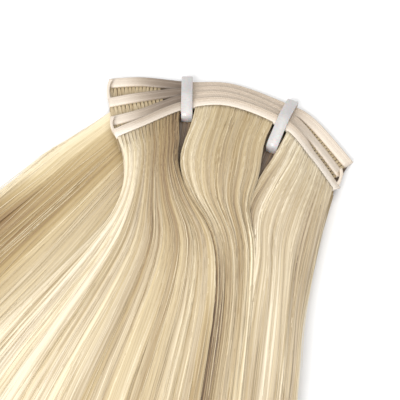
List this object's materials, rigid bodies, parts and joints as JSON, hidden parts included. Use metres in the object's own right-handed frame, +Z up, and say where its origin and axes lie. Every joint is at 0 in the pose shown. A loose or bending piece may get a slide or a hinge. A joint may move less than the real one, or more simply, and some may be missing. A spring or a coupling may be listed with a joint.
{
  "type": "hair weft",
  "caption": "Blonde hair weft lying flat: a sewn band folded back and forth into stepped passes, held by nylon ties that part its long straight hair into locks.",
  "frame": {"origin": "on the table under the middle of the topmost pass of the band, on the flat underside of the hair", "axes": "+X along the band to the right, +Y from the hair towards the band's free edge, +Z up from the table"},
  "size_m": [0.2257, 0.3, 0.0143],
  "materials": {
    "band": "sewn thread band with a clear soft coat",
    "nylon": "milky natural nylon",
    "hair": "straight glossy blonde hair"
  },
  "bodies": {
    "root": {"weft_band": "band", "tie_left": "nylon", "tie_right": "nylon", "hair_left": "hair", "hair_middle": "hair", "hair_right": "hair", "hair_fan": "hair"}
  },
  "joints": []
}
